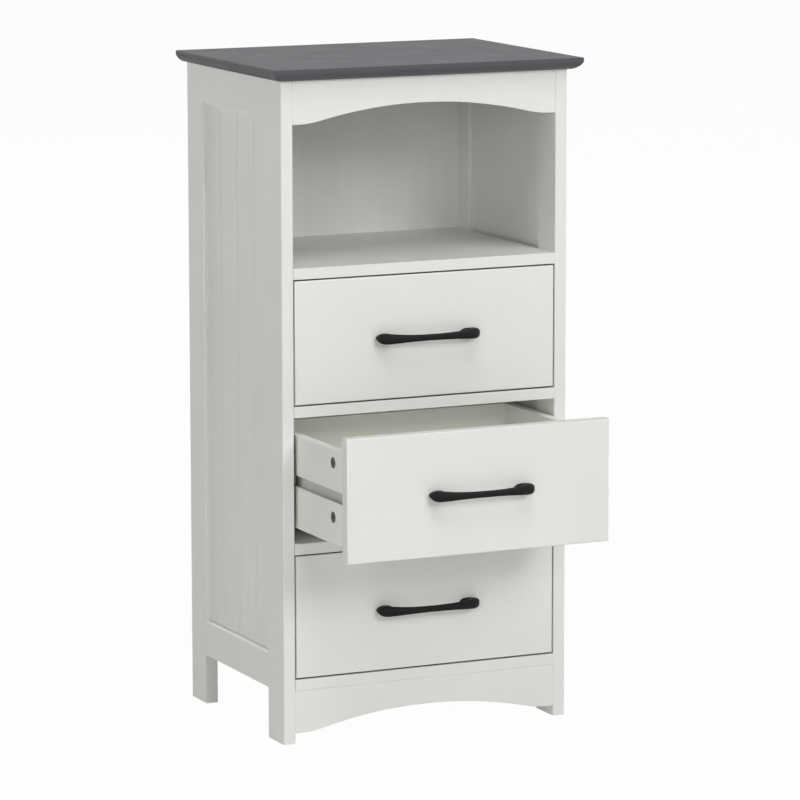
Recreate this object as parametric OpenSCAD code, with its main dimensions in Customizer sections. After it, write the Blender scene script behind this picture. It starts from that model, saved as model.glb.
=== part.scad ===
// Tall bathroom cabinet: an open compartment over three inset drawers on wooden runners.
// Each side is a frame of two stiles and two rails round a grooved board, and the stiles are the legs.
// Origin: on the floor, at the centre of the side frames' footprint. Front faces -Y, up is +Z.

/* [Carcass] */
// Width over the two side frames
carcass_w = 418; // [360:1:520]
// Depth of the side frames, front to back
carcass_d = 322; // [290:1:400]
// Height of the bottom board's top face above the floor
base_h = 87; // [84:1:120]
// Clear height of each drawer bay
bay_h = 169; // [150:1:210]
// Clear height of the open compartment, from the shelf to the top board
compartment_h = 247; // [180:1:320]
// Thickness of the shelf, dividers, bottom board, aprons and drawer fronts
board_t = 15; // [14:0.5:18]
// Radius that eases the long outer edges
ease_r = 2; // [0.6:0.1:3]

/* [Side frames] */
// Thickness of the stiles and rails
stile_t = 17; // [16:0.5:20]
// Width of each stile, which is also the leg
stile_w = 52; // [46:1:60]
// Height of the bottom rail's lower edge above the floor
leg_h = 68; // [40:1:80]
// Height of the bottom rail
bottom_rail_h = 50; // [40:1:80]
// Height of the top rail
top_rail_h = 51; // [44:1:80]
// Thickness of the grooved side board
side_board_t = 6; // [4:0.5:8]
// Depth of the tongue that the side board has in the frame
tongue = 8; // [4:1:10]
// Distance between the side board's grooves
bead_pitch = 57; // [30:1:70]
// Width of a side board groove at the face
bead_w = 3; // [1:0.5:5]
// Depth of a side board groove
bead_depth = 1.4; // [0.5:0.1:2]

/* [Top board] */
// Thickness of the top board
top_t = 16; // [14:0.5:22]
// Overhang of the top board past each side
side_overhang = 16; // [13:1:30]
// Overhang of the top board past the front
front_overhang = 18; // [13:1:30]
// Height of the upright lip above the rounded underside of the edge
lip_h = 5.5; // [3:0.5:8]
// Width of the rounded part of the edge, seen from below
nosing_w = 13; // [8:0.5:16]
// Radius of the rounded part of the edge
nosing_r = 18; // [16:0.5:30]
// Radius that eases the top board's upper edges
top_edge_r = 1.2; // [0.5:0.1:2]

/* [Aprons] */
// Height of an apron at its ends
apron_h = 58; // [45:1:70]
// Rise of the arch in the apron's lower edge
arch_rise = 22; // [10:1:28]
// Length of the level stretch at each end of the arch
arch_flat = 8; // [2:1:20]
// Radius of the curve that leads from the level stretch into the arch
arch_lead_r = 140; // [60:1:200]
// Distance of the aprons behind the front of the stiles
apron_recess = 1; // [0:0.5:4]

/* [Back] */
// Thickness of the back panel
back_t = 3; // [2.5:0.5:6]
// Distance of the back panel's rear face from the rear of the stiles
back_inset = 15; // [10:1:18]
// Depth of the groove in the rear stiles that holds the back panel
back_groove = 6; // [3:0.5:7]

/* [Drawers] */
// Gap between a drawer front and the frame, on each side
front_gap = 2; // [1.5:0.5:4]
// Gap between a drawer front and the boards above and below it
front_gap_v = 2; // [1.5:0.5:4]
// Gap between a drawer's back and the back panel
drawer_back_gap = 8; // [4:1:60]
// Thickness of the drawer's sides and back
drawer_t = 12; // [11:0.5:14]
// Gap between a drawer's side and the side frame
slide_gap = 4; // [2.5:0.5:6]
// Height of the drawer's sides
drawer_side_h = 125; // [100:1:140]
// Height of the drawer sides' lower edge above the front's lower edge
drawer_side_rise = 19; // [10:1:24]
// Thickness of the drawer's bottom
drawer_bottom_t = 3; // [2.5:0.5:5]
// Height of the drawer bottom above the sides' lower edge
drawer_bottom_rise = 8; // [6:1:12]
// Depth of the grooves that hold the drawer's bottom
bottom_groove = 5; // [3:0.5:6]
// How far the middle drawer stands open
middle_open = 165; // [0:1:220]

/* [Runners] */
// Height of a runner
runner_h = 14; // [10:1:18]
// Depth of the groove in the drawer's side that takes the runner
runner_groove = 6; // [4:0.5:7]
// Clearance between a runner and its groove, all round
runner_gap = 0.5; // [0.3:0.1:1]
// Distance from a runner's end to the nearest face in front of or behind it
runner_end_gap = 2; // [1:0.5:6]

/* [Handles] */
// Distance between a handle's two screws
handle_pitch = 128; // [96:32:160]
// Length of each of a handle's feet where it spreads on the drawer front
foot_l = 25; // [18:1:28]
// Height of a handle's feet on the drawer front
foot_h = 12; // [10:0.5:16]
// Distance from a handle's screw to the outer end of its foot
foot_out = 10; // [8:0.5:12]
// How far the ends of a handle stand past its feet, in front of them
end_flare = 2; // [0:0.5:6]
// Height of a handle's flattened ends
end_h = 15; // [12:0.5:20]
// Thickness of a handle's ends, from their outer side to their inner side
end_t = 11.5; // [9:0.5:14]
// Height of a handle's bar at its middle
bar_h = 8.5; // [6:0.5:12]
// Thickness of a handle's bar at its middle
bar_t = 6.5; // [5:0.5:9]
// Projection of a handle's bar from the drawer front
handle_reach = 26; // [22:1:36]

/* [Fittings] */
// Radius of a cam lock
cam_r = 7.5; // [6:0.5:7.5]
// Distance from a cam lock's centre to the end of its board
cam_reach = 34; // [28:1:36]
// Depth of a cam lock in a carcass board
cam_depth = 12; // [10:0.5:13]
// Depth of a cam lock in a drawer side
drawer_cam_depth = 9.5; // [8:0.5:10]
// Height of a drawer's lower cam locks above the sides' lower edge
drawer_cam_low = 35.5; // [25:0.5:40]
// Depth of a drawer's upper cam locks below the sides' upper edge
drawer_cam_high = 17.5; // [12:0.5:24]
// Radius of a cam bolt's shaft
bolt_r = 3; // [2.5:0.1:3.2]
// Radius of a cam bolt's threaded end
bolt_thread_r = 2.5; // [2:0.1:2.5]
// Depth of a cam bolt's threaded end in the board that carries it
bolt_bite = 10; // [6:0.5:12]
// Radius of a dowel
dowel_r = 4; // [3:0.5:4]
// Length of a dowel
dowel_l = 30; // [20:1:36]
// Radius of a handle screw's shank
handle_screw_r = 2; // [1.5:0.25:2.5]
// Depth of a handle screw in the handle's foot
handle_screw_bite = 9; // [6:0.5:12]
// Radius of a wood screw's shank
wood_screw_r = 1.75; // [1.5:0.25:2.25]
// Radius of a wood screw's head
wood_screw_head_r = 3.5; // [3:0.25:4]
// Length of a wood screw in the drawer's corners
corner_screw_l = 35; // [25:1:40]
// Length of a wood screw in a runner
runner_screw_l = 20; // [16:1:22]

/* [Hidden] */

$fn = 48;
fine = 720;
eps = 0.01;

white = [0.90, 0.90, 0.88];
top_grey = [0.33, 0.33, 0.34];
handle_black = [0.12, 0.12, 0.13];
zinc = [0.36, 0.34, 0.32];
steel = [0.72, 0.72, 0.70];
beech = [0.80, 0.66, 0.48];

// Carcass heights and planes
front_y = -carcass_d / 2;
rear_y = carcass_d / 2;
bay_pitch = bay_h + board_t;
shelf_h = base_h + 3 * bay_pitch;
side_h = shelf_h + compartment_h;
inner_w = carcass_w - 2 * stile_t;
inner_x = inner_w / 2;
rail_l = carcass_d - 2 * stile_w;
rear_stile_y = rear_y - stile_w;
back_y = rear_y - back_inset - back_t;
board_d = back_y - front_y;
window_low = leg_h + bottom_rail_h;
window_high = side_h - top_rail_h;
// Levels of the boards between the side frames, each at its top face
board_levels = [for (i = [0:3]) base_h + i * bay_pitch];

// Least wood between two bores, or between a bore and a groove
wood_wall = 1.5;
// Bores that the cam bolts pass through in boards and in drawer sides, and the one in a cam lock
head_bore_r = bolt_r + 1;
side_bore_r = bolt_r + 0.5;
lock_bore_r = bolt_r;
// Cam bolts: the head ends short of the centre of its lock
bolt_end_gap = 2;
bolt_neck_l = 3;
bolt_head_l = 3;
cam_bolt_l = cam_reach - bolt_end_gap;
// Depth of a dowel in the stile or top board; the rest of it is in the other piece
dowel_bite = dowel_l / 3;

// Places of the fixings, counted from a stile's inner edge and past its dowels to the rails
cam_inset = dowel_bite + bolt_thread_r + wood_wall;
dowel_inset = cam_inset + head_bore_r + dowel_r + wood_wall;
top_cam_inset = dowel_bite + cam_r + wood_wall;
top_dowel_edge = 10;
runner_screw_inset = 18;
board_cam_y = [front_y + stile_w - cam_inset, rear_stile_y + cam_inset];
board_dowel_y = [front_y + stile_w - dowel_inset, rear_stile_y + dowel_inset];
top_cam_y = [front_y + stile_w - top_cam_inset, rear_stile_y + top_cam_inset];
top_dowel_y = [front_y + top_dowel_edge, back_y + back_t + dowel_r + wood_wall];
runner_screw_y = [front_y + stile_w - runner_screw_inset, rear_stile_y + runner_screw_inset];
// Dowels between the stiles and the rails, from the edge of the window
frame_dowel_z = [tongue + dowel_r + wood_wall, tongue + 5 * dowel_r + wood_wall];

// Aprons
apron_y = front_y + apron_recess;
apron_cam_inset = dowel_l - dowel_bite + bolt_thread_r + wood_wall;
apron_dowel_rise = 10;
top_apron_z = side_h - apron_h;
bottom_apron_z = base_h - board_t - apron_h;
arch_steps = 96;

// Drawers, each in its own frame: face of the front at y = 0, the front's lower edge at z = 0
front_w = inner_w - 2 * front_gap;
front_h = bay_h - 2 * front_gap_v;
mid_z = front_h / 2;
drawer_x = inner_x - slide_gap;
drawer_inner_x = drawer_x - drawer_t;
groove_h = runner_h + 2 * runner_gap;
bottom_z = drawer_side_rise + drawer_bottom_rise;
drawer_side_top = drawer_side_rise + drawer_side_h;
drawer_d = board_d - drawer_back_gap;
back_inner_y = drawer_d - drawer_t;
drawer_cams = [drawer_side_rise + drawer_cam_low, drawer_side_top - drawer_cam_high];
// Corner screws sit midway between the runner's groove and the edges of the drawer's side
corner_screw_z = [(drawer_side_rise + mid_z - groove_h / 2) / 2,
    (drawer_side_top + mid_z + groove_h / 2) / 2];
corner_screw_y = drawer_d - drawer_t / 2;
wood_screw_head_l = wood_screw_head_r - wood_screw_r;

// Runners
runner_t = slide_gap + runner_groove - runner_gap;
runner_y0 = front_y + board_t + runner_end_gap;
runner_y1 = back_y - runner_end_gap;

// Handles
foot_x = handle_pitch / 2;
pan_head_r = 2 * handle_screw_r;
pan_head_l = 2.2;
// Half lengths of the handle's outer and inner bows, and of its feet on the drawer front
foot_outer_x = foot_x + foot_out;
foot_inner_x = foot_outer_x - foot_l;
bow_outer_x = foot_outer_x + end_flare;
bow_inner_x = bow_outer_x - end_t;
// Squareness of the two bows and of the bar's section, and how soon the ends run down to the bar
outer_bow = 3.6;
inner_bow = 3;
section_bow = 3.2;
end_taper = 2.4;
handle_rings = 48;
ring_sides = 20;

// Place of a drawer: row 0 is the bottom one, and open is how far it stands out
function drawer_place(row, open) = [0, front_y - open, base_h + row * bay_pitch + front_gap_v];

module mirrored() {
    children();
    mirror([1, 0, 0]) children();
}

// Upright round bar from z = 0
module bar(r, l) {
    cylinder(r = r, h = l);
}

// Bars that lie along +X, +Y or -Y from the given point
module bar_x(at, r, l) {
    translate(at) rotate([0, 90, 0]) bar(r, l);
}

module bar_y(at, r, l) {
    translate(at) rotate([-90, 0, 0]) bar(r, l);
}

// Corner left over when a square corner is rounded: its tip is at the origin, and it spreads to +x, +y
module corner_waste(r) {
    difference() {
        translate([-1, -1]) square(r + 1);
        translate([r, r]) circle(r, $fn = fine / 10);
    }
}

// Rectangle whose two low corners are eased
module eased_edge_2d(w, d, r) {
    difference() {
        square([w, d]);
        corner_waste(r);
        translate([w, 0]) mirror([1, 0]) corner_waste(r);
    }
}

// Cross-shaped recess for a driver, cut down from z = 0
module cross_recess(l) {
    w = l / 5;
    for (turn = [0, 90]) rotate(turn) translate([-l / 2, -w / 2, -l / 3]) cube([l, w, l / 3 + 1]);
}

// Cam lock: a disc with its face at z = 0 and its body below, open to the bolt that comes along +X
module cam_lock(depth, bolt_z) {
    difference() {
        translate([0, 0, -depth]) bar(cam_r - 0.1, depth);
        bar_x([0, 0, bolt_z], lock_bore_r, cam_r + 1);
        cross_recess(0.8 * cam_r);
    }
}

// Cam bolt along +Z: a thread below z = 0, then a shaft, a neck and a head
module cam_bolt() {
    neck_z = cam_bolt_l - bolt_head_l - bolt_neck_l;
    translate([0, 0, -bolt_bite]) bar(bolt_thread_r, bolt_bite);
    bar(bolt_r, neck_z);
    translate([0, 0, neck_z]) bar(bolt_r - 1.2, bolt_neck_l);
    translate([0, 0, neck_z + bolt_neck_l]) bar(bolt_r - 0.2, bolt_head_l);
}

// Countersunk wood screw along -Z with the face of its head at z = 0, without its recess
module wood_screw_body(l) {
    translate([0, 0, -wood_screw_head_l])
        cylinder(r1 = wood_screw_r, r2 = wood_screw_head_r, h = wood_screw_head_l);
    translate([0, 0, -l]) bar(wood_screw_r, l - wood_screw_head_l);
}

module wood_screw(l) {
    difference() {
        wood_screw_body(l);
        cross_recess(wood_screw_head_r);
    }
}

// Section of the top board's edge: it starts at x = 0, with its underside at y = 0
module nosing_2d(l) {
    drop = top_t - lip_h;
    half = sqrt(nosing_w * nosing_w + drop * drop) / 2;
    reach = sqrt(nosing_r * nosing_r - half * half);
    centre = [nosing_w / 2 + reach * drop / (2 * half), drop / 2 + reach * nosing_w / (2 * half)];
    difference() {
        square([l, top_t]);
        difference() {
            translate([-1, -1]) square([nosing_w + 1, drop + 1]);
            translate(centre) circle(nosing_r, $fn = fine);
        }
        translate([0, top_t]) mirror([0, 1]) corner_waste(top_edge_r);
    }
}

// Top board, with the edge section round its front and sides and a square edge at the rear
module top_board() {
    w = carcass_w + 2 * side_overhang;
    d = carcass_d + front_overhang;
    color(top_grey) difference() {
        intersection() {
            translate([-w / 2, front_y - front_overhang, side_h]) rotate([90, 0, 90])
                linear_extrude(w) nosing_2d(d);
            translate([0, rear_y, side_h]) rotate([90, 0, 0]) linear_extrude(d) mirrored()
                translate([-w / 2, 0]) nosing_2d(w / 2);
        }
        mirrored() top_fixings() {
            bar(bolt_thread_r, bolt_bite);
            bar(dowel_r, dowel_bite);
        }
    }
}

// Places of the top board's fixings over the left side frame: child 0 at the bolts, child 1 at the dowels
module top_fixings() {
    x = -carcass_w / 2 + stile_t / 2;
    for (y = top_cam_y) translate([x, y, side_h]) children(0);
    for (y = top_dowel_y) translate([x, y, side_h]) children(1);
}

// Height of the arch above the apron's lower edge, at x from its middle: one wide arc, which a
// smaller one leads into at each end
function arch_height(x) =
    let (
        run = inner_x - arch_flat,
        sum_r = (run * run + arch_rise * arch_rise) / (2 * arch_rise),
        arc_r = sum_r - arch_lead_r,
        join_x = run * arc_r / sum_r)
    abs(x) < join_x ? arch_rise - arc_r + sqrt(arc_r * arc_r - x * x)
        : arch_lead_r - sqrt(arch_lead_r * arch_lead_r - pow(run - abs(x), 2));

// Waste below the arch, from 1 mm under the apron's lower edge
module arch_2d() {
    run = inner_x - arch_flat;
    polygon(concat(
        [[run, -1], [-run, -1]],
        [for (i = [0:arch_steps]) let (x = run * (2 * i / arch_steps - 1)) [x, arch_height(x)]]));
}

// Apron with its lower edge at z = 0 and its face at y = 0
module apron(z) {
    color(white) translate([0, apron_y, z]) difference() {
        translate([0, board_t, 0]) rotate([90, 0, 0]) linear_extrude(board_t) difference() {
            translate([-inner_x, 0]) square([inner_w, apron_h]);
            arch_2d();
        }
        mirrored() {
            translate([-inner_x + cam_reach, board_t - cam_depth, apron_h - apron_cam_inset])
                rotate([-90, 0, 0]) bar(cam_r, cam_depth + 1);
            bar_x([-inner_x - 1, board_t / 2, apron_h - apron_cam_inset], head_bore_r, cam_reach);
            bar_x([-inner_x - 1, board_t / 2, apron_dowel_rise], dowel_r, dowel_l - dowel_bite + 1);
        }
    }
}

module top_apron() {
    apron(top_apron_z);
}

module bottom_apron() {
    apron(bottom_apron_z);
}

// Places of the boards' and aprons' fixings in the left side frame: child 0 bolts, child 1 dowels
module board_fixings() {
    for (z = board_levels) {
        for (y = board_cam_y) translate([-inner_x, y, z - board_t / 2]) children(0);
        for (y = board_dowel_y) translate([-inner_x, y, z - board_t / 2]) children(1);
    }
    for (z = [top_apron_z, bottom_apron_z]) {
        translate([-inner_x, apron_y + board_t / 2, z + apron_h - apron_cam_inset]) children(0);
        translate([-inner_x, apron_y + board_t / 2, z + apron_dowel_rise]) children(1);
    }
}

// Dowels between the left side frame's stiles and rails, each deeper in its rail than in its stile
module frame_dowel_bars() {
    x = -carcass_w / 2 + stile_t / 2;
    for (inset = frame_dowel_z) for (z = [window_low - inset, window_high + inset]) {
        bar_y([x, front_y + stile_w - dowel_bite, z], dowel_r, dowel_l);
        bar_y([x, rear_stile_y + dowel_bite - dowel_l, z], dowel_r, dowel_l);
    }
}

// Everything drilled into a left stile from its inner face, its top and its inner edge
module stile_bores() {
    board_fixings() {
        bar_x([-bolt_bite, 0, 0], bolt_thread_r, bolt_bite + 1);
        bar_x([-dowel_bite, 0, 0], dowel_r, dowel_bite + 1);
    }
    top_fixings() {
        translate([0, 0, -cam_reach]) bar(head_bore_r, cam_reach + 1);
        translate([0, 0, dowel_bite - dowel_l]) bar(dowel_r, dowel_l);
    }
    for (y = top_cam_y) bar_x([-inner_x - cam_depth, y, side_h - cam_reach], cam_r, cam_depth + 1);
    frame_dowel_bars();
    for (row = [0:2]) for (y = runner_screw_y)
        bar_x([-inner_x + runner_t - runner_screw_l, y, bay_mid(row)], wood_screw_r, runner_screw_l);
}

function bay_mid(row) = base_h + row * bay_pitch + bay_h / 2;

// Room for the grooved board's tongue, all round the window of the left side frame
module tongue_room() {
    x = -carcass_w / 2 + (stile_t - side_board_t) / 2;
    translate([x, front_y + stile_w - tongue, window_low - tongue])
        cube([side_board_t, rail_l + 2 * tongue, window_high - window_low + 2 * tongue]);
}

module front_stile() {
    color(white) difference() {
        translate([-carcass_w / 2, front_y, 0]) linear_extrude(side_h)
            eased_edge_2d(stile_t, stile_w, ease_r);
        tongue_room();
        stile_bores();
    }
}

module rear_stile() {
    color(white) difference() {
        translate([-carcass_w / 2, rear_y, 0]) linear_extrude(side_h) mirror([0, 1])
            eased_edge_2d(stile_t, stile_w, ease_r);
        tongue_room();
        stile_bores();
        translate([-inner_x - back_groove, back_y, base_h - board_t])
            cube([back_groove + 1, back_t, side_h]);
    }
}

module rail(z, h) {
    color(white) difference() {
        translate([-carcass_w / 2, front_y + stile_w, z]) cube([stile_t, rail_l, h]);
        tongue_room();
        frame_dowel_bars();
    }
}

module top_rail() {
    rail(window_high, top_rail_h);
}

module bottom_rail() {
    rail(leg_h, bottom_rail_h);
}

// Side board with upright V grooves in its outer face, as many as fit at their pitch
module grooved_board() {
    l = rail_l + 2 * tongue;
    count = floor(rail_l / bead_pitch);
    color(white) translate([-carcass_w / 2 + (stile_t - side_board_t) / 2, 0, window_low - tongue])
        linear_extrude(window_high - window_low + 2 * tongue) difference() {
            translate([0, -l / 2]) square([side_board_t, l]);
            for (i = [0:count - 1]) translate([0, (i - (count - 1) / 2) * bead_pitch])
                polygon([[-eps, -bead_w / 2], [bead_depth, 0], [-eps, bead_w / 2]]);
        }
}

// Board between the side frames, with its top face at z and its edge in line with the stiles
module carcass_board(z) {
    color(white) difference() {
        translate([-inner_x, front_y, z - board_t]) cube([inner_w, board_d, board_t]);
        mirrored() {
            for (y = board_cam_y) {
                translate([-inner_x + cam_reach, y, z - board_t - 1]) bar(cam_r, cam_depth + 1);
                bar_x([-inner_x - 1, y, z - board_t / 2], head_bore_r, cam_reach);
            }
            for (y = board_dowel_y)
                bar_x([-inner_x - 1, y, z - board_t / 2], dowel_r, dowel_l - dowel_bite + 1);
        }
    }
}

module shelf() {
    carcass_board(board_levels[3]);
}

module upper_divider() {
    carcass_board(board_levels[2]);
}

module lower_divider() {
    carcass_board(board_levels[1]);
}

module bottom_board() {
    carcass_board(board_levels[0]);
}

module back_panel() {
    w = inner_w + 2 * back_groove;
    z = base_h - board_t;
    color(white) translate([-w / 2, back_y, z]) cube([w, back_t, side_h - z]);
}

// Dowels that join the stiles to the rails
module frame_dowels() {
    color(beech) mirrored() frame_dowel_bars();
}

// Dowels that place the boards, the aprons and the top board on the side frames
module carcass_dowels() {
    color(beech) mirrored() {
        board_fixings() {
            union() {}
            bar_x([-dowel_bite, 0, 0], dowel_r, dowel_l);
        }
        top_fixings() {
            union() {}
            translate([0, 0, dowel_bite - dowel_l]) bar(dowel_r, dowel_l);
        }
    }
}

// Cam locks of the boards from below, of the aprons from behind and of the top board from inside
module carcass_cam_locks() {
    color(zinc) mirrored() {
        for (z = board_levels) for (y = board_cam_y)
            translate([-inner_x + cam_reach, y, z - board_t]) rotate([180, 0, 180])
                cam_lock(cam_depth, -board_t / 2);
        for (z = [top_apron_z, bottom_apron_z])
            translate([-inner_x + cam_reach, apron_y + board_t, z + apron_h - apron_cam_inset])
                rotate([-90, 180, 0]) cam_lock(cam_depth, -board_t / 2);
        for (y = top_cam_y)
            translate([-inner_x, y, side_h - cam_reach]) rotate([0, 90, 0]) rotate([0, 0, 180])
                cam_lock(cam_depth, -stile_t / 2);
    }
}

module carcass_cam_bolts() {
    color(steel) mirrored() {
        board_fixings() {
            rotate([0, 90, 0]) cam_bolt();
            union() {}
        }
        top_fixings() {
            rotate([180, 0, 0]) cam_bolt();
            union() {}
        }
    }
}

// Runner on the left side frame: a batten that the groove in the drawer's side rides on
module runner(row) {
    color(white) translate([-inner_x, 0, bay_mid(row)]) difference() {
        translate([0, runner_y0, -runner_h / 2]) cube([runner_t, runner_y1 - runner_y0, runner_h]);
        for (y = runner_screw_y)
            translate([runner_t, y, 0]) rotate([0, 90, 0]) wood_screw_body(runner_screw_l);
    }
}

module runner_screws() {
    color(steel) mirrored() for (row = [0:2]) for (y = runner_screw_y)
        translate([-inner_x + runner_t, y, bay_mid(row)]) rotate([0, 90, 0]) wood_screw(runner_screw_l);
}

// Drawer front, with its four front edges eased
module drawer_front() {
    color(white) difference() {
        intersection() {
            translate([-front_w / 2, 0, 0]) linear_extrude(front_h)
                eased_edge_2d(front_w, board_t, ease_r);
            translate([-front_w / 2, 0, 0]) rotate([90, 0, 90]) linear_extrude(front_w)
                translate([0, front_h]) rotate(-90) eased_edge_2d(front_h, board_t, ease_r);
        }
        translate([-drawer_inner_x - bottom_groove, board_t - bottom_groove, bottom_z])
            cube([2 * (drawer_inner_x + bottom_groove), bottom_groove + 1, drawer_bottom_t]);
        mirrored() {
            for (z = drawer_cams)
                bar_y([-drawer_x + drawer_t / 2, board_t - bolt_bite, z], bolt_thread_r, bolt_bite + 1);
            bar_y([-foot_x, -1, mid_z], handle_screw_r + 0.25, board_t + 2);
        }
    }
}

// Left side of a drawer: runner groove, groove for the bottom, cam locks at the front, screws at the back
module drawer_side() {
    color(white) difference() {
        translate([-drawer_x, board_t, drawer_side_rise]) cube([drawer_t, drawer_d - board_t, drawer_side_h]);
        translate([-drawer_x - 1, board_t - 1, mid_z - groove_h / 2])
            cube([runner_groove + 1, drawer_d, groove_h]);
        translate([-drawer_inner_x - bottom_groove, board_t - 1, bottom_z])
            cube([bottom_groove + 1, drawer_d, drawer_bottom_t]);
        for (z = drawer_cams) {
            bar_x([-drawer_x - 1, board_t + cam_reach, z], cam_r, drawer_cam_depth + 1);
            bar_y([-drawer_x + drawer_t / 2, board_t - 1, z], side_bore_r, cam_reach);
        }
        for (z = corner_screw_z)
            translate([-drawer_x, corner_screw_y, z]) rotate([0, -90, 0]) wood_screw_body(corner_screw_l);
    }
}

module drawer_back() {
    z0 = bottom_z + drawer_bottom_t;
    color(white) difference() {
        translate([-drawer_inner_x, back_inner_y, z0])
            cube([2 * drawer_inner_x, drawer_t, drawer_side_top - z0]);
        mirrored() for (z = corner_screw_z)
            translate([-drawer_x, corner_screw_y, z]) rotate([0, -90, 0]) wood_screw_body(corner_screw_l);
    }
}

module drawer_bottom() {
    w = 2 * (drawer_inner_x + bottom_groove);
    y0 = board_t - bottom_groove;
    color(white) translate([-w / 2, y0, bottom_z]) cube([w, drawer_d - y0, drawer_bottom_t]);
}

// Handle: a bowed bar on two feet. Its outer and inner curves, seen from above, are superellipses
// that draw together or spread near the feet. Each ring of the loft spans the two curves: an oval at
// the feet, squarer in front, high at the ends and low between them.
function pow_sign(v, e) = sign(v) * pow(abs(v), e);
// Point of a bow of half length a and reach b at angle t, whose half length is foot at the drawer front
function bow(a, b, foot, n, t) =
    let (rise = pow(sin(t), 2 / n))
    [-a * pow_sign(cos(t), 2 / n) * near_foot(foot / a, rise), -b * rise];
// Factor that is given at the drawer front and runs smoothly to 1 at the bow's full reach
function near_foot(share, rise) = 1 - (1 - share) * pow(1 - rise, 2);
function handle_ring(t) =
    let (
        outer = bow(bow_outer_x, handle_reach, foot_outer_x, outer_bow, t),
        inner = bow(bow_inner_x, handle_reach - bar_t, foot_inner_x, inner_bow, t),
        mid = (outer + inner) / 2,
        half = (outer - inner) / 2,
        rise = min(1, -mid[1] / (handle_reach - bar_t / 2)),
        spread = min(1, abs(mid[0]) / foot_x),
        high = (bar_h + (end_h - bar_h) * pow(spread, end_taper)) / 2 * near_foot(foot_h / end_h, rise),
        square = 2 / (2 + (section_bow - 2) * rise))
    [for (k = [0:ring_sides - 1]) let (
            a = 360 * (k + 0.5) / ring_sides,
            across = pow_sign(cos(a), square))
        [mid[0] + half[0] * across, mid[1] + half[1] * across, high * pow_sign(sin(a), square)]];

module handle() {
    last = handle_rings;
    sides = ring_sides;
    // Rings stand closer together towards the feet
    points = [for (i = [0:last]) each handle_ring(90 * (1 - cos(180 * i / last)))];
    color(handle_black) translate([0, 0, mid_z]) difference() {
        polyhedron(points = points, faces = concat(
            [[for (k = [0:sides - 1]) sides - 1 - k]],
            [for (i = [0:last - 1]) for (k = [0:sides - 1]) each [
                [i * sides + k, i * sides + (k + 1) % sides, (i + 1) * sides + (k + 1) % sides],
                [i * sides + k, (i + 1) * sides + (k + 1) % sides, (i + 1) * sides + k]]],
            [[for (k = [0:sides - 1]) last * sides + k]]));
        mirrored() bar_y([-foot_x, -handle_screw_bite, 0], handle_screw_r, handle_screw_bite + 1);
    }
}

// Pan-head screws that come through the drawer front from inside
module handle_screws() {
    color(steel) mirrored() translate([-foot_x, 0, mid_z]) {
        bar_y([0, -handle_screw_bite, 0], handle_screw_r, handle_screw_bite + board_t);
        difference() {
            bar_y([0, board_t, 0], pan_head_r, pan_head_l);
            translate([0, board_t + pan_head_l, 0]) rotate([-90, 0, 0]) cross_recess(pan_head_r);
        }
    }
}

module drawer_cam_locks() {
    color(zinc) mirrored() for (z = drawer_cams)
        translate([-drawer_x, board_t + cam_reach, z]) rotate([0, -90, 0]) rotate([0, 0, -90])
            cam_lock(drawer_cam_depth, -drawer_t / 2);
}

module drawer_cam_bolts() {
    color(steel) mirrored() for (z = drawer_cams)
        translate([-drawer_x + drawer_t / 2, board_t, z]) rotate([-90, 0, 0]) cam_bolt();
}

module corner_screws() {
    color(steel) mirrored() for (z = corner_screw_z)
        translate([-drawer_x, corner_screw_y, z]) rotate([0, -90, 0]) wood_screw(corner_screw_l);
}

top_board();
front_stile();  // left_front_stile
rear_stile();  // left_rear_stile
top_rail();  // left_top_rail
bottom_rail();  // left_bottom_rail
grooved_board();  // left_grooved_board
mirror([1, 0, 0]) front_stile();  // right_front_stile
mirror([1, 0, 0]) rear_stile();  // right_rear_stile
mirror([1, 0, 0]) top_rail();  // right_top_rail
mirror([1, 0, 0]) bottom_rail();  // right_bottom_rail
mirror([1, 0, 0]) grooved_board();  // right_grooved_board
top_apron();
bottom_apron();
shelf();
upper_divider();
lower_divider();
bottom_board();
back_panel();
frame_dowels();
carcass_dowels();
carcass_cam_locks();
carcass_cam_bolts();
runner(0);  // bottom_drawer_left_runner
mirror([1, 0, 0]) runner(0);  // bottom_drawer_right_runner
runner(1);  // middle_drawer_left_runner
mirror([1, 0, 0]) runner(1);  // middle_drawer_right_runner
runner(2);  // top_drawer_left_runner
mirror([1, 0, 0]) runner(2);  // top_drawer_right_runner
runner_screws();
for (drawer = [["bottom", 0, 0], ["middle", 1, middle_open], ["top", 2, 0]])
    translate(drawer_place(drawer[1], drawer[2])) {
        drawer_front();
        drawer_side();
        mirror([1, 0, 0]) drawer_side();
        drawer_back();
        drawer_bottom();
        handle();
        handle_screws();
        drawer_cam_locks();
        drawer_cam_bolts();
        corner_screws();
    }
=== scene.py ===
"""Looks of a tall bathroom cabinet: painted boards, a dark top, bow handles and metal fittings.

Everything is in the part's own frame, in metres: X to the right, Y to the rear, Z up, with the
origin on the floor at the centre of the legs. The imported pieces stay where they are. Painted boards
are shown as merged copies of them with eased edges, the handles are bridged anew, and the rest is
dressed as it stands.
"""

import logging
import math
from dataclasses import dataclass
from enum import Enum

import bmesh
import bpy
from mathutils import Matrix, Vector


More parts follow.
